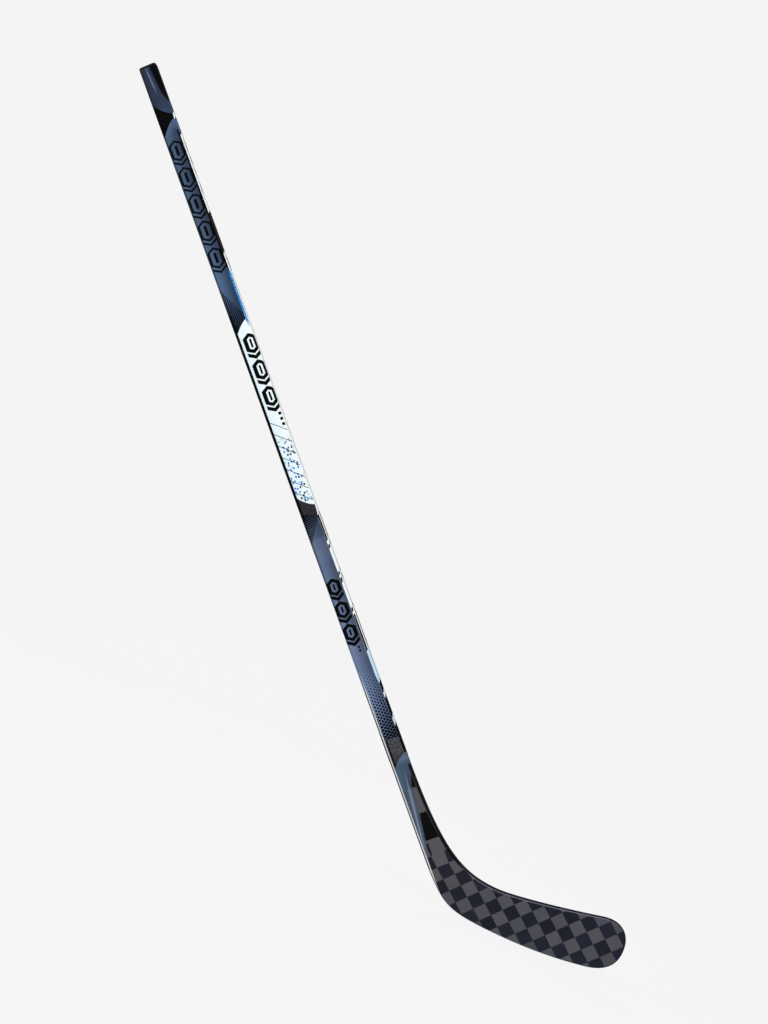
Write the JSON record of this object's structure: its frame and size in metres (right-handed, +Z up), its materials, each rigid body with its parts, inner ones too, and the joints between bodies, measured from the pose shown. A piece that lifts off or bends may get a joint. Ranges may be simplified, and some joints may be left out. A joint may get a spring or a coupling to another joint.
{
  "type": "ice hockey stick",
  "caption": "Left-handed ice hockey stick: hollow carbon shaft bonded to a thin curved foam-cored blade, with a checkered woven finish, for passing and shooting a puck.",
  "frame": {"origin": "middle of the flat stretch of the blade's sole, on the ice", "axes": "+Z up from the ice, +X toward the toe of the blade, -Y out of the forehand (hollow) face; the shaft rises toward -X"},
  "size_m": [1.2622, 0.0414, 1.0833],
  "materials": {
    "carbon_tube": "satin carbon laminate",
    "painted_ply": "gloss lacquer over blue, ice white and black artwork",
    "plug": "matte black moulded plastic",
    "wrap": "gloss lacquer over grey-brown fibre",
    "glue": "cured epoxy",
    "hosel_laminate": "moulded carbon",
    "checker_ply": "satin checkered spread-tow carbon",
    "skin": "satin carbon laminate",
    "edge_bead": "gloss dark carbon",
    "foam": "closed-cell structural foam"
  },
  "bodies": {
    "stick": {"shaft_tube": "carbon_tube", "shaft_outer_ply": "painted_ply", "joint_wrap": "wrap", "tenon_bond": "glue", "hosel_core": "hosel_laminate", "forehand_ply": "checker_ply", "backhand_ply": "checker_ply", "forehand_skin": "skin", "backhand_skin": "skin", "sole_edge": "edge_bead", "top_edge": "edge_bead", "foam_core_lower": "foam", "foam_core_upper": "foam", "blade_rib": "hosel_laminate", "toe_fill": "hosel_laminate"},
    "end_plug": {"end_plug": "plug"}
  },
  "joints": [
    {"name": "end_plug_slide", "type": "slide", "parent": "stick", "child": "end_plug", "axis": [-0.682, 0, 0.7314], "range_m": [0, 0.06]}
  ]
}
